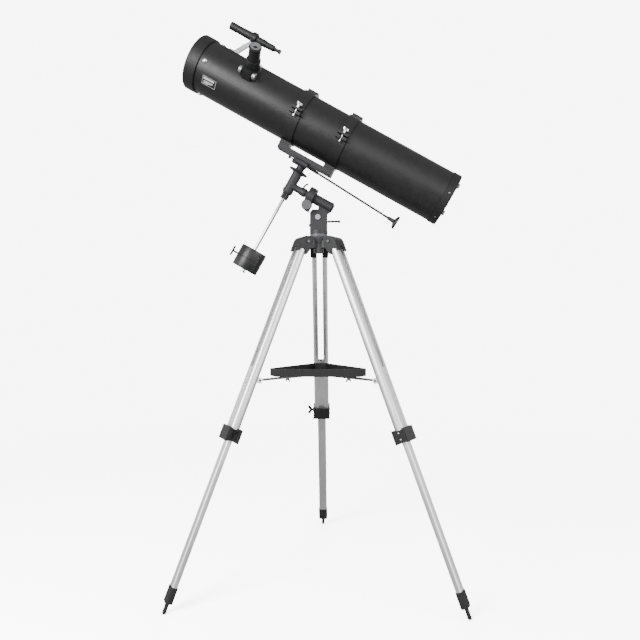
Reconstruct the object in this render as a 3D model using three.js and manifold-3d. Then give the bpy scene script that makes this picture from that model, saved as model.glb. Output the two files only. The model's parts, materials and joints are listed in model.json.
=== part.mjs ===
// Reflector telescope on an equatorial mount and aluminium tripod.
// Millimetres, +Z up. The tripod's back leg points along +Y and the tube lies in the XZ plane.
import * as THREE from 'three';
import { mergeVertices } from 'three/addons/utils/BufferGeometryUtils.js';
import Module from 'manifold-3d';

const wasm = await Module();
wasm.setup();

// ---------------------------------------------------------------- driving dimensions

const GAP = 0.3;                      // running gap between neighbouring pieces
const DEG = Math.PI / 180;

// tripod
const FOOT_RADIUS = 466;              // tripod axis to the point under a foot
const LEG_TOP_RADIUS = 65;
const LEG_TOP_HEIGHT = 988;
const LEG_TILT = Math.atan2(FOOT_RADIUS - LEG_TOP_RADIUS, LEG_TOP_HEIGHT);
const LEG_LENGTH = Math.hypot(FOOT_RADIUS - LEG_TOP_RADIUS, LEG_TOP_HEIGHT);
const LEGS = { back: 90 * DEG, left: 210 * DEG, right: 330 * DEG };
const RAIL = { width: 15.5, depth: 26, gap: 18, groove: 5.4, bottom: -562, top: 14 };
const LOWER_LEG = { width: 28.2, depth: 16, wall: 1.6, bottom: -1015, top: -370 };
const CLAMP = { width: 56, depth: 41, bottom: -588, top: -548 };
const FOOT = { width: 31.5, depth: 20.5, top: -992, shoulder: -1034, tip: 5.5 };
const HINGE = { radius: 50, height: 1012 };
const BRACKET_WIDTH = 55;
const TRAY = { side: 241, corner: 40, bottom: 617.3, height: 22, floor: 2.5, lip: 3 };
const LUG = { x: -21.5, z: -401.4 };  // the brace's pin, in a leg's own axes
const BRACE = { outer: 196, inner: 54, outerHeight: 608, innerHeight: 614, width: 16, thickness: 5 };

// mount head: x runs down the polar axis, z runs up the declination axis
const LATITUDE = 29.43 * DEG;
const AXES_CROSS = new THREE.Vector3(-84.4, 0, 1188.2);
const PIVOT = { x: -2, z: 1088.6 };
const CHEEK = { gap: 16.8, thickness: 10.5, halfWidth: 26, bottom: 1040 };
const SHAFT_RADIUS = 9;
const WORM = { x: 77, z: -34 };
const CONTROL_SLOPE = 3.2 * DEG;       // the declination control runs down a little towards its knob
const ROD = { radius: 5, top: -46, bottom: -297 };
const WEIGHT = { radius: 40, top: -224, bottom: -291 };

// optical tube, in the mount head's axes
const TUBE = { radius: 79, wall: 1.5, front: -430, rear: 410.4, height: 189 };
const RING = { inner: 79.3, outer: 83.3, width: 34, centre: 76, split: 5 * DEG };
const PLATE = { from: -91, to: 93, bottom: 80, top: 94, halfWidth: 20 };
const FOCUSER = { x: -252, angle: 60 * DEG };
const PINION = { y: -30, z: 88 };      // in the focuser's own axes
const FINDER = { x: -399, z: 336 };

// ---------------------------------------------------------------- finishes

const finish = (color, roughness, metalness) => ({ color, roughness, metalness });
const TUBE_BLACK = finish(0x2b2a2b, 0.45, 0.1);
const PLASTIC = finish(0x1d1d1e, 0.55, 0);
const CAST = finish(0x474748, 0.5, 0.2);
const ALUMINIUM = finish(0xc9cacc, 0.28, 1);
const CHROME = finish(0xdcdde0, 0.12, 1);
const STEEL = finish(0x8f9092, 0.3, 1);
const MIRROR = finish(0xeef1f4, 0.02, 1);
const RUBBER = finish(0x141414, 0.8, 0);

// ---------------------------------------------------------------- helpers

function toSolid(geometry) {
  const bare = geometry.clone();
  bare.deleteAttribute('normal');
  bare.deleteAttribute('uv');
  const merged = mergeVertices(bare, 1e-4);
  const vertProperties = Float32Array.from(merged.attributes.position.array);
  const triVerts = Uint32Array.from(merged.index.array);
  return new wasm.Manifold(new wasm.Mesh({ numProp: 3, vertProperties, triVerts }));
}

function toGeometry(solid) {
  const mesh = solid.getMesh();
  const geometry = new THREE.BufferGeometry();
  geometry.setAttribute('position', new THREE.BufferAttribute(mesh.vertProperties, 3));
  geometry.setIndex(new THREE.BufferAttribute(mesh.triVerts, 1));
  geometry.computeVertexNormals();
  return geometry;
}

function join(...geometries) {
  return toGeometry(geometries.map(toSolid).reduce((all, next) => all.add(next)));
}

function cut(geometry, ...tools) {
  return toGeometry(tools.map(toSolid).reduce((rest, tool) => rest.subtract(tool), toSolid(geometry)));
}

function box([x0, x1], [y0, y1], [z0, z1]) {
  const geometry = new THREE.BoxGeometry(x1 - x0, y1 - y0, z1 - z0);
  return geometry.translate((x0 + x1) / 2, (y0 + y1) / 2, (z0 + z1) / 2);
}

// turns a shape built along +Y to stand along another axis
function along(axis, geometry) {
  if (axis === 'x') return geometry.rotateZ(-Math.PI / 2);
  if (axis === 'z') return geometry.rotateX(Math.PI / 2);
  return geometry;
}

function cylinder(axis, radius, from, to, segments = 32) {
  const geometry = new THREE.CylinderGeometry(radius, radius, to - from, segments);
  return along(axis, geometry.translate(0, (from + to) / 2, 0));
}

// profile: [radius, distance along the axis] pairs, anticlockwise, on the axis at both ends or closed
function turned(axis, profile, segments = 32) {
  const points = profile.map(([radius, at]) => new THREE.Vector2(radius, at));
  return along(axis, new THREE.LatheGeometry(points, segments));
}

// a turned ring: the closed outline comes back to its first point
function ring(axis, inner, outer, from, to, segments = 32) {
  return turned(axis, [[inner, from], [outer, from], [outer, to], [inner, to], [inner, from]], segments);
}

// a flat outline in XZ, given thickness along Y
function plate(outline, y0, y1, holes = []) {
  const shape = outline instanceof THREE.Shape ? outline : new THREE.Shape(
    outline.map(([x, z]) => new THREE.Vector2(x, z)));
  shape.holes.push(...holes);
  const geometry = new THREE.ExtrudeGeometry(shape, { depth: y1 - y0, bevelEnabled: false, curveSegments: 10 });
  return geometry.rotateX(Math.PI / 2).translate(0, y1, 0);
}

// a rounded rectangle in XY
function roundedOutline(width, depth, radius) {
  const shape = new THREE.Shape();
  const x = width / 2 - radius;
  const y = depth / 2 - radius;
  shape.absarc(x, y, radius, 0, 90 * DEG);
  shape.absarc(-x, y, radius, 90 * DEG, 180 * DEG);
  shape.absarc(-x, -y, radius, 180 * DEG, 270 * DEG);
  shape.absarc(x, -y, radius, 270 * DEG, 360 * DEG);
  return shape;
}

function pillar(shape, from, to, curveSegments = 5) {
  const geometry = new THREE.ExtrudeGeometry(shape, { depth: to - from, bevelEnabled: false, curveSegments });
  return geometry.translate(0, 0, from);
}

function add(parent, name, geometry, look) {
  const mesh = new THREE.Mesh(geometry, new THREE.MeshStandardMaterial(look));
  mesh.name = name;
  parent.add(mesh);
}

// ---------------------------------------------------------------- tripod

function tripodHub() {
  const bowl = turned('z', [
    [0, 984], [15, 984], [15, 1008], [18, 1014], [25, 1027], [26.7, 1031], [26.7, 1039], [0, 1039],
  ]);
  const tabs = Object.values(LEGS).map((azimuth) => {
    const outline = new THREE.Shape();
    outline.moveTo(6, 998);
    outline.lineTo(HINGE.radius, 998);
    outline.absarc(HINGE.radius, HINGE.height, 14, -90 * DEG, 90 * DEG);
    outline.lineTo(6, 1026);
    return plate(outline, -8, 8).rotateZ(azimuth);
  });
  return join(bowl, ...tabs);
}

// Pieces of one leg stand in its own axes: x outwards, y to the side, z up along the leg from its top.
function railGeometry(side) {
  const { width, depth, gap, groove, bottom, top } = RAIL;
  const inner = gap / 2;
  const slot = LOWER_LEG.depth / 2 + GAP;
  const shape = new THREE.Shape();
  shape.moveTo(-depth / 2, inner);
  shape.lineTo(-slot, inner);
  shape.lineTo(-slot, inner + groove);
  shape.lineTo(slot, inner + groove);
  shape.lineTo(slot, inner);
  shape.lineTo(depth / 2, inner);
  shape.lineTo(depth / 2, inner + width * 0.45);
  shape.absellipse(0, inner + width * 0.45, depth / 2, width * 0.55, 0, Math.PI);
  shape.closePath();
  const rail = pillar(shape, bottom, top, 10);
  const geometry = side > 0 ? rail : rail.rotateZ(Math.PI);
  // the lug that carries one end of the brace's pin
  const wall = [side * (inner + 0.3), side * (inner + 4)].sort((a, b) => a - b);
  const lug = box([LUG.x - 7, -depth / 2 + 2], wall, [LUG.z - 8, LUG.z + 8]);
  const hole = cylinder('y', 3 + GAP, -40, 40, 20).translate(LUG.x, 0, LUG.z);
  return cut(join(geometry, lug), hole);
}

function railPocket(from, to) {
  const reach = RAIL.gap / 2 + RAIL.width + GAP;
  return [-1, 1].map((side) => {
    const ends = [side * reach, side * (RAIL.gap / 2 - GAP)].sort((a, b) => a - b);
    return box([-RAIL.depth / 2 - GAP, RAIL.depth / 2 + GAP], ends, [from, to]);
  });
}

function legBracket() {
  const toWorld = (x, z) => [
    LEG_TOP_RADIUS + x * Math.cos(LEG_TILT) - z * Math.sin(LEG_TILT),
    LEG_TOP_HEIGHT + x * Math.sin(LEG_TILT) + z * Math.cos(LEG_TILT),
  ];
  const outline = [toWorld(-16, -8), toWorld(16, -8), [70, 1018], [64, 1026], [56, 1029], [36, 1029], [33, 1024],
    [34, 1000]];
  const half = BRACKET_WIDTH / 2;
  const body = plate(outline, -half, half).translate(-LEG_TOP_RADIUS, 0, -LEG_TOP_HEIGHT).rotateY(LEG_TILT);
  const tabSlot = plate([[20, 990], [66, 990], [66, 1040], [20, 1040]], -8.4, 8.4)
    .translate(-LEG_TOP_RADIUS, 0, -LEG_TOP_HEIGHT).rotateY(LEG_TILT);
  const betweenRails = box([-30, 30], [-RAIL.gap / 2, RAIL.gap / 2], [-20, 6]);
  const arch = cylinder('y', 17, -40, 40, 28).scale(0.72, 1, 1).translate(0, 0, -14);
  return cut(body, tabSlot, betweenRails, arch, ...railPocket(-30, RAIL.top + GAP));
}

function legClamp() {
  const { width, depth, bottom, top } = CLAMP;
  const body = box([-depth / 2, depth / 2], [-width / 2, width / 2], [bottom, top]);
  const boss = cylinder('y', 7, width / 2 - 2, width / 2 + 3, 20).translate(0, 0, (bottom + top) / 2 + 6);
  const scallops = [top + 36, bottom - 36].map((z) => cylinder('y', 40, -60, 60, 48).translate(0, 0, z));
  const passage = box([-LOWER_LEG.depth / 2 - GAP, LOWER_LEG.depth / 2 + GAP],
    [-LOWER_LEG.width / 2 - GAP, LOWER_LEG.width / 2 + GAP], [bottom - 20, top + 20]);
  const screwHole = cylinder('y', 3, width / 2 - 4, width / 2 + 8, 16).translate(0, 0, (bottom + top) / 2 + 6);
  return cut(join(cut(body, ...scallops), boss), passage, screwHole,
    ...railPocket(RAIL.bottom - GAP, top + 20));
}

function legClampScrew() {
  const z = (CLAMP.bottom + CLAMP.top) / 2 + 6;
  const face = CLAMP.width / 2;
  const stem = cylinder('y', 2.6, face - 2.4, face + 9, 16);
  const wings = [-1, 1].map((side) => box([-4.5, 4.5], [0, 17], [-3, 3])
    .rotateX(side * 52 * DEG).translate(0, face + 7, 0));
  return join(stem, ...wings).translate(0, 0, z);
}

function lowerLeg() {
  const { width, depth, wall, bottom, top } = LOWER_LEG;
  const shape = roundedOutline(depth, width, 5);
  shape.holes.push(roundedOutline(depth - 2 * wall, width - 2 * wall, 5 - wall));
  return pillar(shape, bottom, top);
}

function foot() {
  const { width, depth, top, shoulder, tip } = FOOT;
  const boot = pillar(roundedOutline(depth, width, 7), shoulder, top);
  const pocket = pillar(roundedOutline(LOWER_LEG.depth + 2 * GAP, LOWER_LEG.width + 2 * GAP, 5 + GAP),
    LOWER_LEG.bottom - GAP, top + 5);
  const end = tip - LEG_LENGTH;
  const arc = [3, 2, 1, 0].map((step) => [tip * Math.cos(step * 30 * DEG), end - tip * Math.sin(step * 30 * DEG)]);
  const point = turned('z', [...arc, [tip, shoulder - 4], [9, shoulder + 3], [0, shoulder + 3]], 20);
  const ground = box([-40, 40], [-40, 40], [-60, 1.5]).rotateY(LEG_TILT).translate(0, 0, -LEG_LENGTH);
  return cut(join(cut(boot, pocket), point), ground);
}

function trayOutline(inset) {
  const side = TRAY.side;
  const corner = TRAY.corner;
  const apothem = (side + 2 * corner) / (2 * Math.sqrt(3)) - inset;
  const tip = (side + 2 * corner) / Math.sqrt(3) - corner * Math.sqrt(3) / 2 - inset;
  // a corner cut lies square to its leg and meets the long sides at 120 degrees
  const half = (2 * apothem - tip) / Math.sqrt(3);
  const shape = new THREE.Shape();
  Object.values(LEGS).forEach((azimuth, index) => {
    [-1, 1].forEach((end) => {
      const x = tip * Math.cos(azimuth) - end * half * Math.sin(azimuth);
      const y = tip * Math.sin(azimuth) + end * half * Math.cos(azimuth);
      if (index === 0 && end === -1) shape.moveTo(x, y);
      else shape.lineTo(x, y);
    });
  });
  shape.closePath();
  return shape;
}

function tray() {
  const top = TRAY.bottom + TRAY.height;
  const outer = pillar(trayOutline(0), TRAY.bottom, top);
  const recess = pillar(trayOutline(TRAY.lip), TRAY.bottom + TRAY.floor, top + 1);
  return cut(outer, recess);
}

// bar from a leg to the tray's underside, x outwards along the leg's direction
function trayBrace() {
  const { outer, inner, outerHeight, innerHeight, width, thickness } = BRACE;
  const slope = Math.atan2(innerHeight - outerHeight, outer - inner);
  const bar = box([inner - outer, 0], [-width / 2, width / 2], [-thickness / 2, thickness / 2]).rotateY(slope);
  const pin = cylinder('y', 3, -13, 13, 20);
  return join(bar, pin).translate(outer, 0, outerHeight);
}

function buildLeg(parent, side, azimuth) {
  const bearing = new THREE.Group();
  bearing.rotation.z = azimuth;
  parent.add(bearing);
  const shank = new THREE.Group();
  shank.position.set(LEG_TOP_RADIUS, 0, LEG_TOP_HEIGHT);
  shank.rotation.y = -LEG_TILT;
  bearing.add(shank);
  add(shank, `leg_bracket_${side}`, legBracket(), PLASTIC);
  add(shank, `leg_rail_${side}_a`, railGeometry(1), ALUMINIUM);
  add(shank, `leg_rail_${side}_b`, railGeometry(-1), ALUMINIUM);
  add(shank, `leg_clamp_${side}`, legClamp(), PLASTIC);
  add(shank, `leg_clamp_screw_${side}`, legClampScrew(), PLASTIC);
  add(shank, `lower_leg_${side}`, lowerLeg(), ALUMINIUM);
  add(shank, `foot_${side}`, foot(), RUBBER);
  add(bearing, `tray_brace_${side}`, trayBrace(), PLASTIC);
}

// ---------------------------------------------------------------- azimuth head, world axes

function azimuthHead() {
  const { gap, thickness, halfWidth, bottom } = CHEEK;
  const outline = [
    [-halfWidth, bottom], [halfWidth, bottom], [halfWidth, PIVOT.z + 12], [16, PIVOT.z + 23],
    [-18, PIVOT.z + 23], [-halfWidth, PIVOT.z + 15],
  ];
  const cheeks = [-1, 1].map((side) => {
    const ends = [side * gap / 2, side * (gap / 2 + thickness)].sort((a, b) => a - b);
    return plate(outline, ...ends);
  });
  const turntable = cylinder('z', 27, bottom - 0.7, bottom + 10, 40);
  const bridge = box([17, halfWidth], [-gap / 2 - 1, gap / 2 + 1], [PIVOT.z - 20, PIVOT.z - 9]);
  const frontBoss = cylinder('x', 4.5, -30, -halfWidth + 1, 16).translate(0, 0, 1067);
  const frontWall = box([-halfWidth, -20], [-gap / 2 - 1, gap / 2 + 1], [1056, 1075]);
  const pivotHole = cylinder('y', 4.3, -40, 40, 20).translate(PIVOT.x, 0, PIVOT.z);
  const boltHole = cylinder('x', 2.5, 0, 50, 16).translate(0, 0, 1078);
  return cut(join(turntable, ...cheeks, bridge, frontWall, frontBoss), pivotHole, boltHole);
}

function latitudePivotBolt() {
  const face = CHEEK.gap / 2 + CHEEK.thickness + GAP;
  return join(
    cylinder('y', 4, -face - 2, face + 2, 20),
    cylinder('y', 8, -face - 4, -face, 24),
    cylinder('y', 8, face, face + 5, 6),
  ).translate(PIVOT.x, 0, PIVOT.z);
}

function latitudeBolt() {
  return join(
    cylinder('x', 2.2, 12.5, 66, 16),
    cylinder('x', 4, 58, 64, 16),
    cylinder('y', 2, -11, 11, 12).translate(64, 0, 0),
  ).translate(0, 0, 1078);
}

// ---------------------------------------------------------------- mount head, head axes

function toHead(x, z) {
  const dx = x - AXES_CROSS.x;
  const dz = z - AXES_CROSS.z;
  return [dx * Math.cos(LATITUDE) - dz * Math.sin(LATITUDE), dx * Math.sin(LATITUDE) + dz * Math.cos(LATITUDE)];
}

function polarHousing() {
  const [pivotX, pivotZ] = toHead(PIVOT.x, PIVOT.z);
  const barrel = turned('x', [
    [0, 58.7], [13.7, 58.7], [13.7, 74.6], [27.5, 74.6], [27.5, 81], [15.5, 82], [15.5, 133], [16.5, 134],
    [16.5, 142], [0, 142],
  ]);
  const lug = new THREE.Shape();
  lug.moveTo(pivotX - 20, -8);
  lug.absarc(pivotX, pivotZ, 13, 170 * DEG, 370 * DEG);
  lug.lineTo(pivotX + 18, -8);
  lug.closePath();
  const wormBox = box([70, 84], [-22, 22], [WORM.z - 9, -24]);
  const bore = cylinder('x', SHAFT_RADIUS + GAP, 50, 137, 32);
  const wormBore = cylinder('y', 3.3, -40, 40, 16).translate(WORM.x, 0, WORM.z);
  const pivotHole = cylinder('y', 4.3, -40, 40, 20).translate(pivotX, 0, pivotZ);
  const wormRoom = ring('x', 14, 28.4, 50, 74.3, 40);
  return cut(join(barrel, plate(lug, -8, 8), cut(wormBox, wormRoom)), bore, wormBore, pivotHole);
}

function raControlKnob() {
  return join(
    cylinder('y', 3, -40, 24, 16),
    turned('y', [[0, -47], [15, -47], [16, -46], [16, -40], [11, -36], [6, -26], [0, -26]], 32),
  ).translate(WORM.x, 0, WORM.z);
}

function declinationHousing() {
  const barrel = turned('z', [[0, -28], [13, -28], [15, -25], [15, 39], [16.5, 41], [16.5, 42], [0, 42]]);
  const arm = turned('x', [
    [0, 2], [12, 2], [10.5, 20], [11, 30], [13.5, 44], [13.5, 50], [11, 51], [11, 58.2], [SHAFT_RADIUS, 58.2],
    [SHAFT_RADIUS, 136], [0, 136],
  ]);
  const collar = cylinder('z', 16.5, -22, -14, 32);
  const bore = cylinder('z', SHAFT_RADIUS + GAP, -20, 60, 32);
  const rodSocket = cylinder('z', ROD.radius + GAP, -40, -10, 20);
  return cut(join(barrel, arm, collar), bore, rodSocket);
}

function lockLever() {
  return join(
    cylinder('z', 2.5, 14, 24, 16),
    plate([[-3, 22], [3, 22], [5, 30], [10, 35], [7, 37], [1, 32]], -2.5, 2.5),
  ).translate(40, 0, 0).rotateX(50 * DEG);
}

function saddle() {
  const neck = turned('z', [
    [0, 52.3], [12.5, 52.3], [12.5, 60], [15, 68], [19, 75], [19, 79.7], [0, 79.7],
  ]);
  const shaft = cylinder('z', SHAFT_RADIUS, -9, 53, 32);
  const sideBlock = box([-33, -10], [-8, 8], [64, 75]);
  const wormBlock = cylinder('x', 9, -17, 18, 24).translate(0, -20, 70.4);
  const web = box([-12, 12], [-20, 0], [64, 76]);
  const wormBore = cylinder('x', 3.4, -30, 30, 16).rotateY(CONTROL_SLOPE).translate(0, -20, 70.4);
  return cut(join(neck, shaft, sideBlock, wormBlock, web), wormBore);
}

function declinationControl() {
  const stem = cylinder('x', 3, -16, 20, 16);
  const coupling = cylinder('x', 3.6, 19.5, 58, 16);
  const rod = cylinder('x', 2.4, 56, 292, 16);
  const ferrule = turned('x', [[0, 288], [3.5, 288], [3.5, 304], [5.5, 306], [6.5, 326], [0, 326]], 20);
  const knob = turned('x', [[0, 324], [8, 324], [19, 329], [20.5, 331], [20.5, 336], [0, 336]], 32);
  return join(stem, coupling, rod, ferrule, knob).rotateY(CONTROL_SLOPE).translate(0, -20, 70.4);
}

function counterweightShaft() {
  return join(
    cylinder('z', ROD.radius, ROD.bottom, -10.3, 24),
    turned('z', [[0, ROD.bottom - 4], [8, ROD.bottom - 4], [8, ROD.bottom], [0, ROD.bottom]], 20),
  );
}

function lockNut() {
  const shape = new THREE.Shape();
  const flutes = 12;
  const steps = flutes * 6;
  for (let step = 0; step < steps; step += 1) {
    const angle = (step / steps) * 2 * Math.PI;
    const radius = 11 + 0.8 * Math.cos(flutes * angle);
    if (step === 0) shape.moveTo(radius, 0);
    else shape.lineTo(radius * Math.cos(angle), radius * Math.sin(angle));
  }
  shape.closePath();
  return cut(pillar(shape, -46, -28.3), cylinder('z', ROD.radius + GAP, -60, 0, 24));
}

function counterweight() {
  const { radius, top, bottom } = WEIGHT;
  const bore = ROD.radius + GAP;
  const body = turned('z', [
    [bore, bottom], [radius - 1.5, bottom], [radius, bottom + 1.5], [radius, top - 1.5], [radius - 1.5, top],
    [bore, top], [bore, bottom],
  ], 48);
  const screwHole = cylinder('x', 3.2, -60, 0, 16).translate(0, 0, (top + bottom) / 2);
  return cut(body, screwHole);
}

function counterweightLockScrew() {
  return join(
    cylinder('x', 2.9, -58, -8, 16),
    cylinder('z', 3, -15, 15, 16).translate(-58, 0, 0),
  ).translate(0, 0, (WEIGHT.top + WEIGHT.bottom) / 2);
}

// ---------------------------------------------------------------- optical tube, head axes

function mountingPlate() {
  return box([PLATE.from, PLATE.to], [-PLATE.halfWidth, PLATE.halfWidth], [PLATE.bottom, PLATE.top]);
}

// ring halves stand around the tube's axis, with the split to the -y side
function halfRing(upper) {
  const half = RING.width / 2;
  const band = ring('x', RING.inner, RING.outer, -half, half, 64);
  const keep = upper ? [2.2, 120] : [-120, -2.2];
  const blank = box([-half - 5, half + 5], [-120, 120], keep);
  const ear = upper ? [2.5, 8] : [-11, -2.5];
  const clampEar = box([-half, half], [-101, -78], ear);
  const hingeEar = box([-half, half], [78, 89], upper ? [2.5, 7] : [-7, -2.5]);
  const core = cylinder('x', RING.inner, -half - 5, half + 5, 64);
  const whole = join(toGeometry(toSolid(band).intersect(toSolid(blank))), clampEar, hingeEar);
  const hole = cylinder('z', 3, -20, 20, 16).translate(0, -93, 0);
  const mouth = box([-3, 3], [-110, -93], [-20, 0]);
  return cut(whole, core, hole, ...(upper ? [] : [mouth]));
}

function ringUpper() {
  const half = RING.width / 2;
  const pad = plate([[-half, 78], [half, 78], [half, 90], [-half, 90]], -15, 15).rotateX(-RING.split);
  const core = cylinder('x', RING.inner, -half - 5, half + 5, 64);
  return join(halfRing(true), cut(pad, core)).rotateX(RING.split);
}

function ringLower() {
  const half = RING.width / 2;
  const foot = box([-half, half], [-16, 16], [PLATE.top + GAP - TUBE.height, -79]);
  const core = cylinder('x', RING.inner, -half - 5, half + 5, 64);
  return join(halfRing(false).rotateX(RING.split), cut(foot, core));
}

function ringKnob() {
  const lobes = new THREE.Shape();
  const steps = 36;
  for (let step = 0; step < steps; step += 1) {
    const angle = (step / steps) * 2 * Math.PI;
    const radius = 8 + 2.6 * Math.cos(3 * angle);
    if (step === 0) lobes.moveTo(radius, 0);
    else lobes.lineTo(radius * Math.cos(angle), radius * Math.sin(angle));
  }
  lobes.closePath();
  return join(
    cylinder('z', 2.5, -18, 12, 16),
    cylinder('z', 5, 8.3, 18, 20),
    pillar(lobes, 17, 23),
  ).translate(0, -93, 0).rotateX(RING.split);
}

function mainTube() {
  const { radius, wall, front, rear } = TUBE;
  const shell = ring('x', radius - wall, radius, front, rear, 72);
  const opening = cylinder('z', 19.5, 50, 100, 28).rotateX(FOCUSER.angle).translate(FOCUSER.x, 0, 0);
  return cut(shell, opening);
}

function rearCell() {
  return turned('x', [
    [0, 408.3], [50, 408.3], [50, 426], [69, 426], [69, 392], [77.2, 392], [77.2, 410.7], [81, 410.7], [81, 434],
    [79.5, 436], [0, 436],
  ], 64);
}

function frontRim() {
  return turned('x', [
    [76, -436], [81.5, -436], [83.2, -434], [83.2, -400], [79.4, -400], [79.4, -430.3], [76, -430.3], [76, -436],
  ], 64);
}

function spider() {
  const at = -384;
  const reach = TUBE.radius - TUBE.wall - GAP;
  const vanes = [0, 1].map((turn) => box([at - 10, at + 10], [-0.8, 0.8], [-reach, reach])
    .rotateX((5 + 90 * turn) * DEG));
  const stalk = cylinder('x', 12, at - 12, at + 14, 24);
  const neck = cylinder('x', 5, at, FOCUSER.x - 20, 16);
  const holder = cylinder('x', 15, FOCUSER.x - 48, FOCUSER.x + 18, 28);
  const slope = box([-60, 60], [-60, 60], [-60, 0]).rotateY(-45 * DEG).translate(FOCUSER.x - 4, 0, 0)
    .rotateX(FOCUSER.angle);
  return join(...vanes, stalk, neck, cut(holder, slope));
}

function secondaryMirror() {
  const slab = cylinder('x', 15.5, FOCUSER.x - 40, FOCUSER.x + 40, 28);
  const side = Math.SQRT2 * 2;
  const keep = box([-60, 60], [-60, 60], [-side, -GAP]).rotateY(-45 * DEG).translate(FOCUSER.x - 4, 0, 0)
    .rotateX(FOCUSER.angle);
  return toGeometry(toSolid(slab).intersect(toSolid(keep)));
}

// focuser pieces: x along the tube, z outwards along the focuser's own axis, from the tube's axis
function focuserBase() {
  const drum = turned('z', [[0, 60], [26.5, 60], [26.5, 80], [23, 92], [0, 92]], 32);
  const pinionBlock = box([-14, 14], [-39, -21.5], [60, 96]);
  const tube = cylinder('x', TUBE.radius + GAP, -60, 60, 96);
  const bore = cylinder('z', 18.3, 40, 110, 32);
  const shaftHole = cylinder('x', 3.3, -30, 30, 16).translate(0, PINION.y, PINION.z);
  return cut(join(drum, pinionBlock), tube, bore, shaftHole);
}

function drawtube() {
  return turned('z', [
    [15.9, 38], [18, 38], [18, 92.6], [21, 94], [21, 116], [20, 118], [15.9, 118], [15.9, 38],
  ], 32);
}

function focusKnobs() {
  const knob = (side) => turned('x', [[0, 15], [5, 15], [10.5, 18], [10.5, 26], [9, 27], [0, 27]], 24)
    .rotateY(side > 0 ? 0 : Math.PI);
  return join(cylinder('x', 3, -20, 20, 16), knob(1), knob(-1)).translate(0, PINION.y, PINION.z);
}

function eyepiece() {
  return turned('z', [
    [0, 88], [15.6, 88], [15.6, 118.3], [17.3, 118.3], [17.3, 150], [18.2, 153], [18.2, 158], [14, 160], [12, 157],
    [0, 157],
  ], 32);
}

function finderTube() {
  const { x, z } = FINDER;
  return turned('x', [
    [0, 0], [11.5, 0], [12, 1], [12, 23], [11.3, 24], [12.8, 70], [12.8, 92], [10.8, 93], [10.8, 122], [9.4, 124],
    [9.4, 150], [6, 154], [5, 163], [7.6, 173], [0, 173],
  ], 28).translate(x, 0, z);
}

function finderBracket() {
  const collarX = FINDER.x + 83;
  const footX = FINDER.x + 51;
  const collar = ring('x', 13.1, 16.3, collarX - 7, collarX + 7, 32).translate(0, 0, FINDER.z);
  const base = box([footX - 16, footX + 16], [-12, 12], [TUBE.height + 74, TUBE.height + TUBE.radius + 3]);
  const stalk = plate([
    [footX - 8, TUBE.height + TUBE.radius], [footX + 8, TUBE.height + TUBE.radius], [collarX + 6, FINDER.z - 14.5],
    [collarX - 7, FINDER.z - 14.5],
  ], -4, 4);
  const screw = cylinder('x', 2.5, -24, -2, 12).translate(collarX, 0, FINDER.z - 34);
  const tube = cylinder('x', TUBE.radius + GAP, -440, 0, 96).translate(0, 0, TUBE.height);
  return cut(join(collar, base, stalk, screw), tube);
}

// ---------------------------------------------------------------- assembly

const telescope = new THREE.Group();
const stand = new THREE.Group();
telescope.add(stand);

add(stand, 'tripod_hub', tripodHub(), CAST);
Object.entries(LEGS).forEach(([side, azimuth]) => buildLeg(stand, side, azimuth));
add(stand, 'accessory_tray', tray(), PLASTIC);
add(stand, 'azimuth_head', azimuthHead(), CAST);
add(stand, 'latitude_pivot_bolt', latitudePivotBolt(), STEEL);
add(stand, 'latitude_t_bolt', latitudeBolt(), STEEL);

const head = new THREE.Group();
head.position.copy(AXES_CROSS);
head.rotation.y = LATITUDE;
stand.add(head);
add(head, 'polar_housing', polarHousing(), CAST);
add(head, 'ra_control_knob', raControlKnob(), CAST);
add(head, 'ra_setting_circle', ring('x', 14, 28, 59.3, 74.3, 40), CAST);
add(head, 'declination_housing', declinationHousing(), CAST);
add(head, 'ra_lock_lever', lockLever(), STEEL);
add(head, 'dec_setting_circle', turned('z', [
  [9.3, 42.3], [17, 42.3], [30, 45.5], [31, 47], [20, 50], [9.3, 50], [9.3, 42.3],
], 40), CAST);
add(head, 'saddle', saddle(), CAST);
add(head, 'dec_control', declinationControl(), STEEL);
add(head, 'counterweight_shaft', counterweightShaft(), CHROME);
add(head, 'shaft_lock_nut', lockNut(), PLASTIC);
add(head, 'counterweight', counterweight(), TUBE_BLACK);
add(head, 'counterweight_lock_screw', counterweightLockScrew(), PLASTIC);
add(head, 'mounting_plate', mountingPlate(), CAST);

const tubeAxis = new THREE.Group();
tubeAxis.position.z = TUBE.height;
head.add(tubeAxis);
Object.entries({ front: -RING.centre, rear: RING.centre }).forEach(([place, x]) => {
  const clamp = new THREE.Group();
  clamp.position.x = x;
  tubeAxis.add(clamp);
  add(clamp, `tube_ring_lower_${place}`, ringLower(), TUBE_BLACK);
  add(clamp, `tube_ring_upper_${place}`, ringUpper(), TUBE_BLACK);
  add(clamp, `tube_ring_knob_${place}`, ringKnob(), CHROME);
});
add(tubeAxis, 'main_tube', mainTube(), TUBE_BLACK);
add(tubeAxis, 'rear_cell', rearCell(), PLASTIC);
add(tubeAxis, 'primary_mirror', cylinder('x', 65, 391, 408, 64), MIRROR);
add(tubeAxis, 'front_rim', frontRim(), PLASTIC);
add(tubeAxis, 'spider', spider(), STEEL);
add(tubeAxis, 'secondary_mirror', secondaryMirror(), MIRROR);

const focuser = new THREE.Group();
focuser.position.x = FOCUSER.x;
focuser.rotation.x = FOCUSER.angle;
tubeAxis.add(focuser);
add(focuser, 'focuser_base', focuserBase(), PLASTIC);
add(focuser, 'focuser_drawtube', drawtube(), PLASTIC);
add(focuser, 'focus_knobs', focusKnobs(), ALUMINIUM);
add(focuser, 'eyepiece', eyepiece(), PLASTIC);

add(head, 'finder_tube', finderTube(), PLASTIC);
add(head, 'finder_bracket', finderBracket(), ALUMINIUM);

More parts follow.
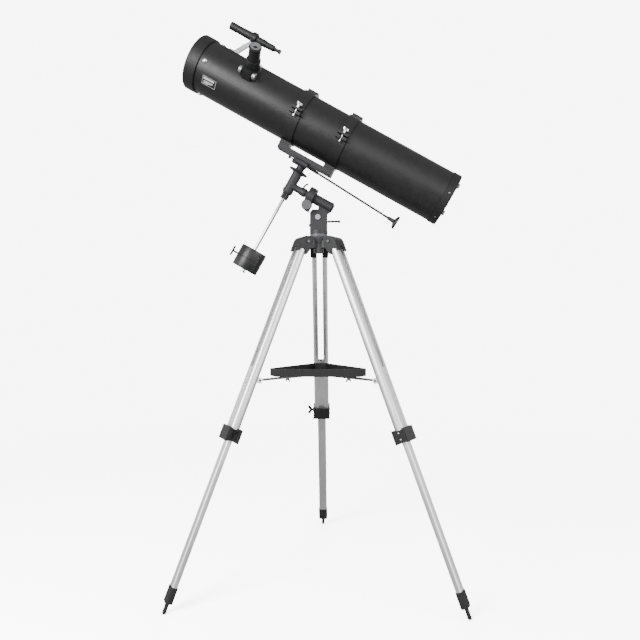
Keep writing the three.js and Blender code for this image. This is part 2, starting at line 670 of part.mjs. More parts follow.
// the origin is the middle of the whole object's box, on the ground
stand.updateMatrixWorld(true);
const bounds = new THREE.Box3().setFromObject(stand, true);
const middle = bounds.getCenter(new THREE.Vector3());
stand.position.set(-middle.x, -middle.y, -bounds.min.z);

export default telescope;
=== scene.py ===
import json
import math

import bmesh
import bpy
from bpy.props import FloatProperty, FloatVectorProperty, IntProperty, PointerProperty
from mathutils import Matrix, Vector


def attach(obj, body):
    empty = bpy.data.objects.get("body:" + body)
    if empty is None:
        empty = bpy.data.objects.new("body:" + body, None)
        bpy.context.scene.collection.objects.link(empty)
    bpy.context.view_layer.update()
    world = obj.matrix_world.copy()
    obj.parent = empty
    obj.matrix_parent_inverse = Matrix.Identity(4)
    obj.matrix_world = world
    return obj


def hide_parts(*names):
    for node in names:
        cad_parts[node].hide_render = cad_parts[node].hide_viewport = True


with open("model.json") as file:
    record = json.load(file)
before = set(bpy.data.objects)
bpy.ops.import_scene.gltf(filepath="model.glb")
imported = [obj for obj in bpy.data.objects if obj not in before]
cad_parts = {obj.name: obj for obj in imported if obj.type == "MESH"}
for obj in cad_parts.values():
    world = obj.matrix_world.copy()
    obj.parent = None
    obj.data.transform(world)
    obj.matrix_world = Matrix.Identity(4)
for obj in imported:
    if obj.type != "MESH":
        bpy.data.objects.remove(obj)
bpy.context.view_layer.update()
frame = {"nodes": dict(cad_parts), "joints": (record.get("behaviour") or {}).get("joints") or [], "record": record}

bl_info = {
    "name": "Reflector Telescope",
    "version": (1, 0, 0),
    "blender": (4, 5, 0),
    "location": "View3D > Sidebar > Telescope",
    "description": "Dresses a reflector telescope on its equatorial mount and tripod",
    "category": "Object",
}

MM = 0.001
JOINTS = {joint["name"]: joint for joint in frame["joints"]}
LEG_SIDES = ("back", "left", "right")
RING_PLACES = {"front": -76, "rear": 76}
RING_SPLIT = math.radians(5)
FOCUSER_TURN = math.radians(60)
CAMERA_HEADING = 0.0354
# The rest are millimetres.
CAMERA_FROM_MIDDLE = Vector((66.0, -1754.8, -259.5))
FOCUSER_X = -252
TUBE_RADIUS = 79
FINDER_HEIGHT = 147
FINDER_FRONT = -399
SPIDER_X = -384
CELL_SCREW_X = 424
CELL_BACK = 436
CLAMP_FACE = 28.05
CLAMP_TO_SCREW = (30, 6)
BRACKET_FACE = 27.6
LEG_HINGE = (50, 1011)
WING_NUT_PLACE = (103, 609.5)
POLAR_END = 142.1
HOUR_KNOB_FACE = (77, -47, -34)
CONTROL_START = (0, -20, 70.4)
CONTROL_SLOPE = math.radians(3.2)
DECLINATION_LOCK = (-30, -20, 69)
LATITUDE_BOLT = (30, -10.6)
WEIGHT_RADIUS = 40
WEIGHT_ENDS = (-291, -224)
LABEL_ALONG = (-372, -328)
LABEL_AROUND = (122, 140)


# ------------------------------------------------------------------ places

def place_of(name):
    return Vector(JOINTS[name]["pos_m"])


def axis_of(name):
    return Vector(JOINTS[name]["axis"]).normalized()


def frame_from(origin, x_axis, y_axis, z_axis):
    """A matrix that takes millimetres in a part's own axes to metres in the model."""
    turn = Matrix((x_axis, y_axis, z_axis)).transposed().to_4x4()
    return Matrix.Translation(origin) @ turn @ Matrix.Scale(MM, 4)


def head_frame():
    """Origin where the two axes cross; x runs down the polar axis, z up to the tube."""
    x_axis = axis_of("right_ascension")
    z_axis = axis_of("declination")
    return frame_from(place_of("right_ascension"), x_axis, z_axis.cross(x_axis), z_axis)


def tube_frame():
    """Like the head's axes, with the origin on the tube's axis."""
    height = (place_of("tube_roll") - place_of("right_ascension")).length / MM
    return head_frame() @ Matrix.Translation((0, 0, height))


def around_tube(x, radius, angle_deg):
    """A frame on the tube's side: z points outwards, x along the tube."""
    turn = Matrix.Rotation(math.radians(angle_deg), 4, "X")
    return tube_frame() @ Matrix.Translation((x, 0, 0)) @ turn @ Matrix.Translation((0, 0, radius))


def focuser_frame():
    """Origin on the tube's axis, z out along the focuser."""
    return tube_frame() @ Matrix.Translation((FOCUSER_X, 0, 0)) @ Matrix.Rotation(FOCUSER_TURN, 4, "X")


def leg_frame(side):
    """Origin in the middle of a leg's clamp; x outwards, y to the screw, z up the leg."""
    y_axis = axis_of(f"leg_clamp_turn_{side}")
    z_axis = -axis_of(f"leg_extend_{side}")
    across, up = CLAMP_TO_SCREW
    origin = place_of(f"leg_clamp_turn_{side}") - across * MM * y_axis - up * MM * z_axis
    return frame_from(origin, y_axis.cross(z_axis), y_axis, z_axis)


def bearing_frame(side):
    """Origin where the tripod's axis meets the ground; x points out over a leg."""
    pivot = place_of(f"leg_fold_{side}")
    middle = place_of("azimuth")
    out = Vector((pivot.x - middle.x, pivot.y - middle.y, 0)).normalized()
    up = Vector((0, 0, 1))
    return frame_from(Vector((middle.x, middle.y, 0)), out, up.cross(out), up)


# ------------------------------------------------------------------ materials

def linear(hex_colour):
    """sRGB hex to linear RGBA."""
    channels = [int(hex_colour[i:i + 2], 16) / 255 for i in (1, 3, 5)]
    return [c / 12.92 if c <= 0.04045 else ((c + 0.055) / 1.055) ** 2.4 for c in channels] + [1.0]


def add_node(tree, kind, settings=None, links=None):
    """Adds one node: settings are its own properties or its sockets' values, links its inputs."""
    node = tree.nodes.new(kind)
    for key, value in (settings or {}).items():
        if isinstance(key, str) and hasattr(node, key):
            setattr(node, key, value)
        else:
            node.inputs[key].default_value = value
    for socket, source in (links or {}).items():
        tree.links.new(source, node.inputs[socket])
    return node


def two_tones(tree, source, dark, light, low=0.3, high=0.7):
    """The colour that a pattern gives between two tones."""
    ramp = add_node(tree, "ShaderNodeValToRGB", links={"Fac": source})
    ramp.color_ramp.elements[0].position = low
    ramp.color_ramp.elements[1].position = high
    ramp.color_ramp.elements[0].color = dark
    ramp.color_ramp.elements[1].color = light
    return ramp.outputs["Color"]


def finish(name, dark, light, grain_mm, rough, bump_mm, metallic=0.0, stretch=(1, 1, 1), **sockets):
    """A material whose tone, gloss and relief all follow one grain of a real size."""
    made = bpy.data.materials.get(name)
    if made:
        return made
    made = bpy.data.materials.new(name)
    made.use_nodes = True
    tree = made.node_tree
    tree.nodes.clear()
    where = add_node(tree, "ShaderNodeTexCoord")
    spread = add_node(
        tree, "ShaderNodeMapping", {"Scale": stretch}, {"Vector": where.outputs["Object"]})
    grain = add_node(
        tree, "ShaderNodeTexNoise",
        {"Scale": 1 / (grain_mm * MM), "Detail": 3.0, "Roughness": 0.55},
        {"Vector": spread.outputs["Vector"]})
    wear = add_node(
        tree, "ShaderNodeTexNoise", {"Scale": 1 / (grain_mm * 22 * MM), "Detail": 2.0},
        {"Vector": spread.outputs["Vector"]})
    half_wear = add_node(
        tree, "ShaderNodeMath", {"operation": "MULTIPLY", 1: 0.5}, {0: wear.outputs["Fac"]})
    both = add_node(
        tree, "ShaderNodeMath", {"operation": "MULTIPLY_ADD", 1: 0.5},
        {0: grain.outputs["Fac"], 2: half_wear.outputs[0]})
    gloss = add_node(
        tree, "ShaderNodeMapRange",
        {"From Min": 0.35, "From Max": 0.65, "To Min": rough[0], "To Max": rough[1]},
        {"Value": both.outputs[0]})
    relief = add_node(
        tree, "ShaderNodeBump", {"Strength": 0.35, "Distance": bump_mm * MM},
        {"Height": grain.outputs["Fac"]})
    shader = add_node(
        tree, "ShaderNodeBsdfPrincipled", {"Metallic": metallic, **sockets},
        {"Base Color": two_tones(tree, both.outputs[0], linear(dark), linear(light)),
         "Roughness": gloss.outputs["Result"], "Normal": relief.outputs["Normal"]})
    add_node(tree, "ShaderNodeOutputMaterial", links={"Surface": shader.outputs["BSDF"]})
    return made


def drawn_aluminium():
    # drawn 6063 aluminium, satin anodised: bright, with faint lines pulled along the leg
    return finish("drawn aluminium", "#eeeef0", "#fafafb", 0.9, (0.34, 0.46), 0.02, 1.0, (1, 1, 0.03))


def turned_aluminium():
    # aluminium turned on a lathe: bright faces with a soft sheen
    return finish("turned aluminium", "#b4b5b8", "#d2d3d5", 0.6, (0.22, 0.34), 0.02, 1.0)


def moulded_abs():
    # ABS moulded in a spark-eroded tool: near black with a fine even grain that scatters the light
    return finish("moulded ABS", "#151516", "#1e1e1f", 0.5, (0.42, 0.55), 0.04,
                  **{"Specular IOR Level": 0.4})


def painted_casting():
    # zinc die casting under a textured grey-black paint: slightly uneven skin and soft highlights
    return finish("painted die casting", "#2a2a2c", "#353537", 1.1, (0.4, 0.54), 0.05,
                  **{"Specular IOR Level": 0.35})


def lighter_grey_casting():
    # die casting in a lighter grey than the rest of the mount
    return finish("lighter grey casting", "#4c4c4f", "#5b5b5e", 1.1, (0.36, 0.5), 0.05)


def powder_coat():
    # polyester powder coat on rolled steel: satin black with a pebbled skin that widens every highlight
    return finish("powder coat", "#171617", "#1e1d1e", 0.8, (0.34, 0.44), 0.05)


def enamelled_iron():
    # cast iron under black enamel: smoother than powder coat, with a slow waviness
    return finish("enamelled iron", "#19191a", "#222223", 1.6, (0.3, 0.42), 0.05)


def turned_steel():
    # zinc-plated machined steel: mid grey, a little blue, crisp small highlights
    return finish("turned steel", "#97989b", "#b3b4b7", 0.5, (0.2, 0.32), 0.02, 1.0)


def blackened_steel():
    # steel under black oxide: dark metal whose highlights stay narrow
    return finish("blackened steel", "#4b4b4d", "#5c5c5e", 0.5, (0.28, 0.4), 0.02, 1.0)


def grey_insert():
    # grey ABS pressed into a black knob: flat, matt and evenly lit
    return finish("grey ABS insert", "#525254", "#5e5e60", 0.5, (0.5, 0.62), 0.03)


def chrome_plate():
    # bright chrome over nickel: mirrors the room, broken only by faint polishing haze
    return finish("chrome plate", "#d5d5d8", "#e6e6e9", 1.0, (0.06, 0.14), 0.005, 1.0)


def silvered_glass():
    # front-aluminised glass: an almost perfect mirror with a trace of dust
    return finish("silvered glass", "#e6e9ec", "#f2f4f6", 2.0, (0.015, 0.05), 0.001, 1.0)


def foot_rubber():
    # moulded rubber: dull and slightly dusty
    return finish("foot rubber", "#141414", "#1f1f1f", 0.7, (0.65, 0.8), 0.06)


def printed_white():
    # screen-printed ink: matt off-white lines
    return finish("screen-printed ink", "#c9c9c9", "#dadada", 0.4, (0.5, 0.6), 0.01)


def coated_lens():
    # crown glass with an anti-reflection coat: clear, with a cool cast
    return finish(
        "coated crown glass", "#cfdde6", "#dbe6ee", 3.0, (0.01, 0.03), 0.001,
        **{"Transmission Weight": 1.0, "IOR": 1.52})


SLOT_FINISHES = {
    "legs": drawn_aluminium,
    "black_plastic": moulded_abs,
    "cast_grey": painted_casting,
    "tube_black": powder_coat,
    "steel": turned_steel,
    "chrome": chrome_plate,
    "mirror": silvered_glass,
    "feet": foot_rubber,
    "trim_aluminium": turned_aluminium,
    "weight": enamelled_iron,
}
NODE_FINISHES = {
    "latitude_t_bolt": blackened_steel,
    "ra_lock_lever": moulded_abs,
    "dec_control": blackened_steel,
    "tripod_hub": lighter_grey_casting,
    "tray_brace_back": blackened_steel,
    "tray_brace_left": blackened_steel,
    "tray_brace_right": blackened_steel,
}


# ------------------------------------------------------------------ shaping

def smooth(mesh, angle_deg=32):
    mesh.shade_smooth()
    mesh.set_sharp_from_angle(angle=math.radians(angle_deg))


def soften(obj, width_mm, segments=2):
    """Rounds the edges that a mould or a file would have rounded."""
    edge = obj.modifiers.new("rounded edges", "BEVEL")
    edge.width = width_mm * MM
    edge.segments = segments
    edge.limit_method = "ANGLE"
    edge.angle_limit = math.radians(34)
    edge.harden_normals = True


def piece(name, bm, place, material, body, round_mm=0.0):
    """Turns a bmesh in a part's own millimetres into a finished piece that rides on a body."""
    bmesh.ops.recalc_face_normals(bm, faces=bm.faces)
    name = name.replace(" ", "_")
    mesh = bpy.data.meshes.new(name)
    bm.to_mesh(mesh)
    bm.free()
    mesh.transform(place)
    smooth(mesh)
    mesh.materials.append(material)
    obj = bpy.data.objects.new(name, mesh)
    bpy.context.scene.collection.objects.link(obj)
    if round_mm:
        soften(obj, round_mm)
    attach(obj, body)
    return obj


def lathe(profile, segments=48):
    """A solid turned about z from [radius, height] pairs; off the axis, the profile closes on itself."""
    bm = bmesh.new()
    on_axis = profile[0][0] == 0
    rows = []
    for radius, height in profile:
        if radius == 0:
            rows.append([bm.verts.new((0, 0, height))])
            continue
        rows.append([
            bm.verts.new((radius * math.cos(t), radius * math.sin(t), height))
            for t in (2 * math.pi * k / segments for k in range(segments))])
    pairs = list(zip(rows, rows[1:]))
    if not on_axis:
        pairs.append((rows[-1], rows[0]))
    for low, high in pairs:
        for k in range(segments):
            after = k + 1
            corners = [low[k % len(low)], low[after % len(low)], high[after % len(high)], high[k % len(high)]]
            bm.faces.new(list(dict.fromkeys(corners)))
    return bm


def prism(outline, low, high):
    """A flat outline in xy, thickened from low to high."""
    bm = bmesh.new()
    bottom = [bm.verts.new((x, y, low)) for x, y in outline]
    top = [bm.verts.new((x, y, high)) for x, y in outline]
    bm.faces.new(bottom)
    bm.faces.new(top)
    count = len(outline)
    for k in range(count):
        bm.faces.new((bottom[k], bottom[(k + 1) % count], top[(k + 1) % count], top[k]))
    return bm


def block(x, y, z):
    return prism([(x[0], y[0]), (x[1], y[0]), (x[1], y[1]), (x[0], y[1])], *z)


def star(lobes, radius, depth, steps=8):
    """A fluted or lobed outline."""
    count = lobes * steps
    angles = [2 * math.pi * k / count for k in range(count)]
    return [((radius + depth * math.cos(lobes * a)) * math.cos(a),
             (radius + depth * math.cos(lobes * a)) * math.sin(a)) for a in angles]


def patch(x, angle_deg, radius):
    """A thin curved sheet lying on the tube, in the tube's axes."""
    steps = 8
    bm = bmesh.new()
    rings = []
    for k in range(steps + 1):
        t = math.radians(angle_deg[0] + (angle_deg[1] - angle_deg[0]) * k / steps)
        rings.append([
            bm.verts.new((along, -r * math.sin(t), r * math.cos(t)))
            for along, r in ((x[0], radius[0]), (x[1], radius[0]), (x[1], radius[1]), (x[0], radius[1]))])
    for first, second in zip(rings, rings[1:]):
        for k in range(4):
            bm.faces.new((first[k], first[(k + 1) % 4], second[(k + 1) % 4], second[k]))
    bm.faces.new(rings[0])
    bm.faces.new(rings[-1])
    return bm


def pointing(place, axis, at=(0, 0, 0)):
    """The same place with z turned to point along another of its axes."""
    turn = Vector((0, 0, 1)).rotation_difference(Vector(axis)).to_matrix().to_4x4()
    return place @ Matrix.Translation(at) @ turn


def screw_head(name, place, radius, height, material, body):
    """A domed head with a small round recess."""
    dome = [
        [0, 0], [radius, 0], [radius, height * 0.45], [radius * 0.8, height * 0.8],
        [radius * 0.35, height], [radius * 0.3, height * 0.7], [0, height * 0.65]]
    return piece(name, lathe(dome, 24), place, material, body)


def hex_head(name, place, radius, height, material, body):
    outline = [(radius * math.cos(math.pi * k / 3), radius * math.sin(math.pi * k / 3)) for k in range(6)]
    return piece(name, prism(outline, 0, height), place, material, body, 0.4)


# ------------------------------------------------------------------ settings

class TelescopeStageSettings(bpy.types.PropertyGroup):
    floor_colour: FloatVectorProperty(
        name="Floor colour", description="Colour of the studio floor", subtype="COLOR",
        default=(0.3, 0.3, 0.3), min=0, max=1)
    backdrop_colour: FloatVectorProperty(
        name="Backdrop colour", description="Colour of the room around the telescope", subtype="COLOR",
        default=(0.92, 0.92, 0.92), min=0, max=1)
    backdrop_light: FloatProperty(
        name="Backdrop light", description="Brightness of the lit backdrop", default=8.4, min=0)
    wall_light: FloatProperty(
        name="Wall light", description="Light from the walls at eye level", default=2.3, min=0)
    ceiling_light: FloatProperty(
        name="Ceiling light", description="Light from overhead and from the far floor", default=0.5, min=0)
    floor_gain: FloatProperty(
        name="Floor gain", description="How much brighter the paper looks than it lights",
        default=24.0, min=0)
    key_light: FloatProperty(
        name="Key light", description="Power of the main soft light", default=105.0, min=0, unit="POWER")
    lens: FloatProperty(
        name="Lens", description="Focal length of the camera on a 36 mm sensor", default=32.645,
        subtype="DISTANCE_CAMERA")


class TelescopeSizeSettings(bpy.types.PropertyGroup):
    edge_rounding: FloatProperty(
        name="Edge rounding", description="Radius on cast and moulded edges", default=0.6 * MM, min=0,
        unit="LENGTH", precision=5)
    weight_groove: FloatProperty(
        name="Weight groove", description="Depth of the groove round the counterweight",
        default=1.2 * MM, min=0, unit="LENGTH", precision=5)
    scale_marks: IntProperty(
        name="Scale marks", description="Marks round the declination circle", default=72, min=4)


# ------------------------------------------------------------------ pieces

class TELESCOPE_OT_frame(bpy.types.Operator):
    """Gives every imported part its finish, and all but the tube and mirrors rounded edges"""
    bl_idname = "telescope.frame_finishes"
    bl_label = "Frame finishes"

    def execute(self, context):
        width = context.scene.telescope_sizes.edge_rounding / MM
        slots = {part["node"]: part["material_slot"] for part in frame["record"]["subparts"]}
        for node, obj in frame["nodes"].items():
            obj.data.materials.clear()
            made = NODE_FINISHES.get(node, SLOT_FINISHES[slots[node]])
            obj.data.materials.append(made())
            smooth(obj.data)
            if not node.startswith(("main_tube", "primary_mirror", "secondary_mirror")):
                soften(obj, width if not node.startswith("leg_rail") else width * 1.6)
        return {"FINISHED"}


class TELESCOPE_OT_tripod(bpy.types.Operator):
    """Adds the tripod's hinge bolts, rivets and wing nuts"""
    bl_idname = "telescope.tripod"
    bl_label = "Tripod fittings"

    def execute(self, context):
        for side in LEG_SIDES:
            leg = leg_frame(side)
            body = f"leg_{side}"
            for z in (-9, 9):
                place = pointing(leg, (0, -1, 0), (0, -CLAMP_FACE, z))
                screw_head(f"clamp rivet {side} {z}", place, 3.2, 1.6, turned_steel(), body)
            hinge = bearing_frame(side)
            for name, way in (("head", 1), ("nut", -1)):
                place = pointing(hinge, (0, way, 0), (LEG_HINGE[0], way * BRACKET_FACE, LEG_HINGE[1]))
                hex_head(f"leg hinge {name} {side}", place, 4.8, 3.4, blackened_steel(), body)
            place = pointing(hinge, (0, 0, -1), (WING_NUT_PLACE[0], 0, WING_NUT_PLACE[1]))
            barrel = lathe([[0, 0], [5, 0], [4.4, 7], [0, 7]], 24)
            piece(f"wing nut {side}", barrel, place, turned_steel(), f"brace_{side}")
            for way in (-1, 1):
                wing = prism([(2, 1), (13, 6), (15, 11), (11, 12), (3, 6)], -1.2, 1.2)
                facing = Matrix.Rotation(math.pi / 2 * (1 - way), 4, "Z")
                upright = Matrix.Rotation(math.pi / 2, 4, "X")
                piece(f"wing {side} {way}", wing, place @ facing @ upright, turned_steel(), f"brace_{side}",
                      0.5)
        return {"FINISHED"}


class TELESCOPE_OT_mount(bpy.types.Operator):
    """Adds the mount head's cap, web, sleeves, knobs and scale marks"""
    bl_idname = "telescope.mount"
    bl_label = "Mount fittings"

    def execute(self, context):
        head = head_frame()
        marks = context.scene.telescope_sizes.scale_marks
        for k in range(marks):
            reach = 3.4 if k % 6 == 0 else 2.0
            spin = Matrix.Rotation(2 * math.pi * k / marks, 4, "Z")
            tilt = math.atan2(3, 11)
            bevel = Matrix.Translation((30.9, 0, 47.1)) @ Matrix.Rotation(tilt, 4, "Y")
            mark = block((-reach - 0.6, -0.6), (-0.22, 0.22), (-0.05, 0.12))
            piece(f"declination mark {k:02d}", mark, head @ spin @ bevel, printed_white(), "dec_circle")
        place = pointing(head, (1, 0, 0), (POLAR_END, 0, 0))
        cap = lathe([[0, 0], [13, 0], [13, 2.4], [11.5, 4], [0, 4]])
        piece("polar cap", cap, place, moulded_abs(), "polar_housing", 0.4)
        side_on = frame_from(
            place_of("latitude"), Vector((1, 0, 0)), Vector((0, 0, 1)), Vector((0, -1, 0)))
        web = [(-8, 12), (1, 29), (3, 38), (38, 19), (33, 15), (27, 11), (22, 8), (10, 4)]
        piece("polar housing web", prism(web, -8.1, 8.1), side_on, painted_casting(), "polar_housing",
              0.5)
        sleeve = lathe([[2.1, 0], [3.1, 0], [3.1, 32], [2.1, 32]], 24)
        place = pointing(side_on, (1, 0, 0), (*LATITUDE_BOLT, 0))
        piece("latitude bolt sleeve", sleeve, place, blackened_steel(), "latitude_t_bolt")
        place = pointing(head, (0, -1, 0), HOUR_KNOB_FACE)
        disc = lathe([[0, 0.05], [14.4, 0.05], [14.4, 0.5], [13.8, 0.9], [0, 0.9]])
        piece("hour knob disc", disc, place, grey_insert(), "ra_knob")
        cable = head @ Matrix.Translation(CONTROL_START) @ Matrix.Rotation(CONTROL_SLOPE, 4, "Y")
        ribs = [[3.7, 0]]
        for k in range(9):
            ribs += [[3.7, 4 * k], [4.9, 4 * k + 0.8], [4.9, 4 * k + 2.4], [3.7, 4 * k + 3.2]]
        place = pointing(cable, (1, 0, 0), (21, 0, 0))
        piece("cable coupling", lathe(ribs + [[3.7, 36]], 24), place, moulded_abs(), "dec_control")
        sheath = lathe([[2.5, 0], [3.3, 0], [3.3, 228], [2.5, 228]], 24)
        place = pointing(cable, (1, 0, 0), (58, 0, 0))
        piece("cable sheath", sheath, place, blackened_steel(), "dec_control")
        place = pointing(head, (-1, 0, 0), DECLINATION_LOCK)
        grip = lathe([[0, 0], [1.8, 0], [1.8, 8], [4.2, 8.6], [4.2, 14.4], [3.4, 15], [0, 15]], 24)
        piece("declination lock screw", grip, place, moulded_abs(), "saddle")
        return {"FINISHED"}


class TELESCOPE_OT_counterweight(bpy.types.Operator):
    """Turns the counterweight with its groove"""
    bl_idname = "telescope.counterweight"
    bl_label = "Counterweight"

    def execute(self, context):
        groove = context.scene.telescope_sizes.weight_groove / MM
        low, high = WEIGHT_ENDS
        rim = WEIGHT_RADIUS
        outline = [
            [5.3, low], [rim - 3, low], [rim - 0.6, low + 1], [rim, low + 2.6], [rim, -260],
            [rim - groove, -259.2], [rim - groove, -256.8], [rim, -256], [rim, high - 2.6],
            [rim - 0.6, high - 1], [rim - 3, high], [24, high], [22, high - 1], [12, high - 1],
            [10, high], [5.3, high]]
        obj = piece("counterweight turned", lathe(outline, 72), head_frame(), enamelled_iron(),
                    "counterweight")
        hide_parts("counterweight")
        for way in (-1, 1):
            place = pointing(head_frame(), (0, 0, way), (-58, 0, -257.5 + way * 13))
            tip = lathe([[0, 0], [3.6, 0], [3.6, 2.2], [2.6, 3], [0, 3]], 24)
            piece(f"lock screw tip {way}", tip, place, moulded_abs(), "counterweight_screw")
        return {"FINISHED"}


class TELESCOPE_OT_tube(bpy.types.Operator):
    """Adds the tube's spider screws, label, cell screws and ring bolts"""
    bl_idname = "telescope.tube"
    bl_label = "Tube fittings"

    def execute(self, context):
        for angle in (5, 95, 185, 275):
            place = around_tube(SPIDER_X, TUBE_RADIUS - 0.1, angle)
            screw_head(f"spider screw {angle}", place, 7.2, 4.2, chrome_plate(), "optical_tube")
        tube = tube_frame()
        start, end = LABEL_ALONG
        low, high = LABEL_AROUND
        edges = [
            ((start, start + 0.8), LABEL_AROUND), ((end - 0.8, end), LABEL_AROUND),
            (LABEL_ALONG, (low, low + 0.6)), (LABEL_ALONG, (high - 0.6, high))]
        bars = [
            ((-369, -334), (124.4, 128.2)), ((-366, -336), (131.2, 132.8)),
            ((-366, -340), (133.6, 135.2)), ((-366, -350), (136, 137.6))]
        for k, (along, angles) in enumerate(edges + bars):
            ink = patch(along, angles, (TUBE_RADIUS + 0.02, TUBE_RADIUS + 0.2))
            piece(f"label line {k}", ink, tube, printed_white(), "optical_tube")
        for angle in range(30, 390, 60):
            place = around_tube(CELL_SCREW_X, TUBE_RADIUS + 2, angle)
            screw_head(f"cell screw {angle}", place, 2.6, 1.6, turned_steel(), "optical_tube")
        for k in range(3):
            spin = Matrix.Rotation(math.radians(120 * k + 30), 4, "X")
            place = pointing(tube @ spin, (1, 0, 0), (CELL_BACK, 0, 52))
            knob = prism(star(10, 7, 0.5), 0, 8)
            piece(f"collimation knob {k}", knob, place, turned_steel(), "optical_tube", 0.4)
            beside = spin @ Matrix.Rotation(math.radians(22), 4, "X")
            place = pointing(tube @ beside, (1, 0, 0), (CELL_BACK, 0, 52))
            screw_head(f"collimation lock {k}", place, 4, 3, turned_steel(), "optical_tube")
        for name, x in RING_PLACES.items():
            ring = tube @ Matrix.Translation((x, 0, 0)) @ Matrix.Rotation(RING_SPLIT, 4, "X")
            place = pointing(ring, (1, 0, 0), (-17, 87, 0))
            pin = lathe([[0, 0], [2.2, 0], [2.2, 34], [0, 34]], 20)
            piece(f"ring hinge pin {name}", pin, place, turned_steel(), "saddle")
            for along in (-9, 9):
                place = tube @ Matrix.Translation((x + along, 0, 90))
                screw_head(f"ring pad screw {name} {along}", place, 3, 1.4, turned_steel(),
                           f"ring_upper_{name}")
                place = pointing(head_frame(), (0, 0, -1), (x + along * 0.7, 0, 80))
                hex_head(f"plate bolt {name} {along}", place, 4, 2.6, turned_steel(), "saddle")
        return {"FINISHED"}


class TELESCOPE_OT_optics(bpy.types.Operator):
    """Adds lenses, bright rims and adjusting screws to the focuser, eyepiece and finder"""
    bl_idname = "telescope.optics"
    bl_label = "Optics fittings"

    def execute(self, context):
        focuser = focuser_frame()
        rim = [
            [6, 157.1], [12.6, 157.1], [14, 160.05], [15.4, 160.05], [15.4, 160.9], [13, 161.3], [6.6, 159]]
        piece("eyepiece rim", lathe(rim, 40), focuser, turned_aluminium(), "eyepiece")
        lens = lathe([[0, 157.1], [5.8, 157.1], [5, 158], [3, 158.5], [0, 158.7]], 40)
        piece("eye lens", lens, focuser, coated_lens(), "eyepiece")
        place = pointing(focuser, (1, 0, 0), (21, 0, 106))
        screw = lathe([[0, 0], [1.5, 0], [1.5, 3], [3.6, 3], [3.6, 8], [0, 8]], 24)
        piece("eyepiece set screw", screw, place, turned_aluminium(), "drawtube")
        finder = tube_frame() @ Matrix.Translation((0, 0, FINDER_HEIGHT))
        collar = lathe([[13, 0], [13, 14.8], [15.8, 14.8], [16.7, 14], [16.7, 0.8], [15.8, 0]])
        place = pointing(finder, (1, 0, 0), (-323.4, 0, 0))
        piece("finder collar", collar, place, moulded_abs(), "optical_tube")
        place = pointing(finder, (-1, 0, 0), (FINDER_FRONT, 0, 0))
        objective = lathe([[0, 0.05], [9.6, 0.05], [7, 0.8], [0, 1.2]], 40)
        piece("finder objective", objective, place, coated_lens(), "optical_tube")
        return {"FINISHED"}


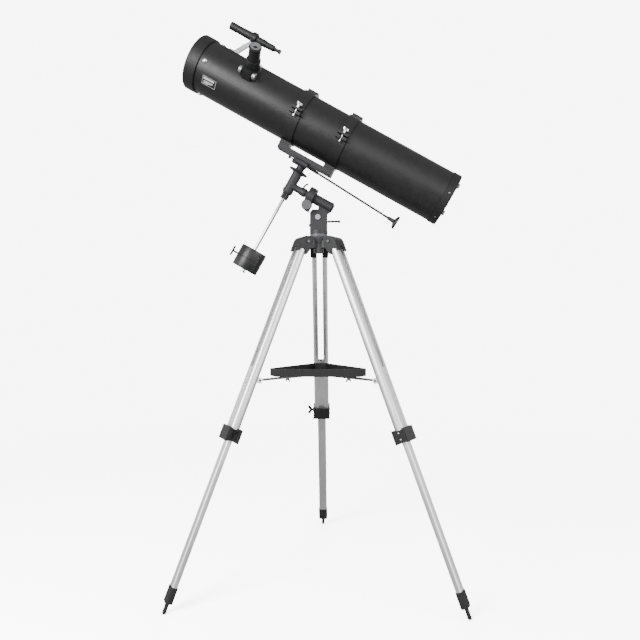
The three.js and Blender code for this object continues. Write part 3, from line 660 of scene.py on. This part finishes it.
class TELESCOPE_OT_stage(bpy.types.Operator):
    """Builds the plain floor, the soft lights and the camera"""
    bl_idname = "telescope.stage"
    bl_label = "Stage"

    def execute(self, context):
        settings = context.scene.telescope_stage
        context.scene.world = self.room(settings)
        bm = bmesh.new()
        bmesh.ops.create_circle(bm, cap_ends=True, segments=96, radius=20)
        mesh = bpy.data.meshes.new("floor")
        bm.to_mesh(mesh)
        bm.free()
        floor = bpy.data.objects.new("floor", mesh)
        context.scene.collection.objects.link(floor)
        mesh.materials.append(self.floor_material(settings))
        middle = place_of("azimuth")
        lights = (
            ("key", (-1.9, -2.4, 1.9), 1.6, settings.key_light),
            ("fill", (2.6, -2.0, 1.2), 2.0, settings.key_light * 0.33),
            ("back", (0.5, 3.0, 2.5), 2.0, settings.key_light * 0.25),
        )
        target = Vector((middle.x, middle.y, 0.95))
        for name, spot, size, power in lights:
            lamp = bpy.data.lights.new(name, "AREA")
            lamp.size = size
            lamp.energy = power
            obj = bpy.data.objects.new(name, lamp)
            obj.location = Vector((middle.x, middle.y, 0)) + Vector(spot)
            obj.rotation_euler = (target - obj.location).to_track_quat("-Z", "Y").to_euler()
            context.scene.collection.objects.link(obj)
        camera = bpy.data.objects.new("camera", bpy.data.cameras.new("camera"))
        camera.data.lens = settings.lens
        camera.data.sensor_width = 36
        camera.data.clip_end = 100
        camera.location = middle + CAMERA_FROM_MIDDLE * MM
        forward = Vector((-math.sin(CAMERA_HEADING), math.cos(CAMERA_HEADING), 0))
        camera.rotation_euler = forward.to_track_quat("-Z", "Y").to_euler()
        context.scene.collection.objects.link(camera)
        context.scene.camera = camera
        return {"FINISHED"}

    @staticmethod
    def room(settings):
        # a white studio: bright walls in front, dimmer ones overhead and behind, and a backdrop that
        # only the camera sees
        world = bpy.data.worlds.new("studio")
        world.use_nodes = True
        tree = world.node_tree
        tree.nodes.clear()
        where = add_node(tree, "ShaderNodeTexCoord")
        way = add_node(tree, "ShaderNodeSeparateXYZ", links={0: where.outputs["Generated"]})
        walls = add_node(
            tree, "ShaderNodeMapRange",
            {"From Min": 0.0, "From Max": 0.75, "To Min": settings.wall_light,
             "To Max": settings.ceiling_light, "interpolation_type": "SMOOTHSTEP"},
            {"Value": way.outputs["Z"]})
        behind = add_node(
            tree, "ShaderNodeMapRange",
            {"From Min": 0.0, "From Max": 0.7, "To Min": 1.0, "To Max": 0.5,
             "interpolation_type": "SMOOTHSTEP"},
            {"Value": way.outputs["Y"]})
        level = add_node(
            tree, "ShaderNodeMath", {"operation": "MULTIPLY"},
            {0: walls.outputs["Result"], 1: behind.outputs["Result"]})
        lit = add_node(
            tree, "ShaderNodeBackground", {"Color": [1, 1, 1, 1]}, {"Strength": level.outputs[0]})
        shown = add_node(
            tree, "ShaderNodeBackground",
            {"Color": [*settings.backdrop_colour, 1], "Strength": settings.backdrop_light})
        ray = add_node(tree, "ShaderNodeLightPath")
        both = add_node(
            tree, "ShaderNodeMixShader",
            links={0: ray.outputs["Is Camera Ray"], 1: lit.outputs["Background"],
                   2: shown.outputs["Background"]})
        add_node(tree, "ShaderNodeOutputWorld", links={"Surface": both.outputs["Shader"]})
        return world

    @staticmethod
    def floor_material(settings):
        # seamless studio paper: matt near the object, fading into the lit backdrop further out. The
        # camera sees it far brighter than it lights the object, which keeps the undersides dark.
        made = bpy.data.materials.new("studio paper")
        made.use_nodes = True
        tree = made.node_tree
        tree.nodes.clear()
        where = add_node(tree, "ShaderNodeTexCoord")
        reach = add_node(
            tree, "ShaderNodeVectorMath", {"operation": "LENGTH"}, {0: where.outputs["Object"]})
        fade = add_node(
            tree, "ShaderNodeMapRange",
            {"From Min": 0.8, "From Max": 3.0, "interpolation_type": "SMOOTHSTEP"},
            {"Value": reach.outputs["Value"]})
        fibre = add_node(tree, "ShaderNodeTexNoise", {"Scale": 400.0}, {"Vector": where.outputs["Object"]})
        light = [*settings.floor_colour, 1]
        dark = [c * 0.985 for c in settings.floor_colour] + [1]
        tone = two_tones(tree, fibre.outputs["Fac"], dark, light)
        ray = add_node(tree, "ShaderNodeLightPath")
        gain = add_node(
            tree, "ShaderNodeMapRange", {"To Min": 1.0, "To Max": settings.floor_gain},
            {"Value": ray.outputs["Is Camera Ray"]})
        lifted = add_node(
            tree, "ShaderNodeVectorMath", {"operation": "SCALE"},
            {0: tone, "Scale": gain.outputs["Result"]})
        paper = add_node(tree, "ShaderNodeBsdfDiffuse", links={"Color": lifted.outputs["Vector"]})
        far = add_node(
            tree, "ShaderNodeMapRange",
            {"To Min": settings.ceiling_light, "To Max": settings.backdrop_light},
            {"Value": ray.outputs["Is Camera Ray"]})
        glow = add_node(
            tree, "ShaderNodeEmission", {"Color": [*settings.backdrop_colour, 1]},
            {"Strength": far.outputs["Result"]})
        mixed = add_node(
            tree, "ShaderNodeMixShader",
            links={0: fade.outputs["Result"], 1: paper.outputs["BSDF"], 2: glow.outputs["Emission"]})
        add_node(tree, "ShaderNodeOutputMaterial", links={"Surface": mixed.outputs["Shader"]})
        return made


class TELESCOPE_PT_panel(bpy.types.Panel):
    """Shows the telescope's settings and the buttons that add its pieces"""
    bl_idname = "TELESCOPE_PT_panel"
    bl_label = "Telescope"
    bl_space_type = "VIEW_3D"
    bl_region_type = "UI"
    bl_category = "Telescope"

    def draw(self, context):
        column = self.layout.column()
        for group in (context.scene.telescope_sizes, context.scene.telescope_stage):
            for name in group.bl_rna.properties.keys():
                if name not in ("rna_type", "name"):
                    column.prop(group, name)
        for operator in OPERATORS:
            column.operator(operator.bl_idname)


OPERATORS = (
    TELESCOPE_OT_frame, TELESCOPE_OT_tripod, TELESCOPE_OT_mount, TELESCOPE_OT_counterweight,
    TELESCOPE_OT_tube, TELESCOPE_OT_optics, TELESCOPE_OT_stage)
CLASSES = (TelescopeStageSettings, TelescopeSizeSettings, *OPERATORS, TELESCOPE_PT_panel)


def register():
    for each in CLASSES:
        bpy.utils.register_class(each)
    bpy.types.Scene.telescope_stage = PointerProperty(type=TelescopeStageSettings)
    bpy.types.Scene.telescope_sizes = PointerProperty(type=TelescopeSizeSettings)


def unregister():
    del bpy.types.Scene.telescope_stage
    del bpy.types.Scene.telescope_sizes
    for each in reversed(CLASSES):
        bpy.utils.unregister_class(each)


def main():
    register()
    for operator in OPERATORS:
        group, name = operator.bl_idname.split(".")
        getattr(getattr(bpy.ops, group), name)()


if __name__ == "__main__":
    main()
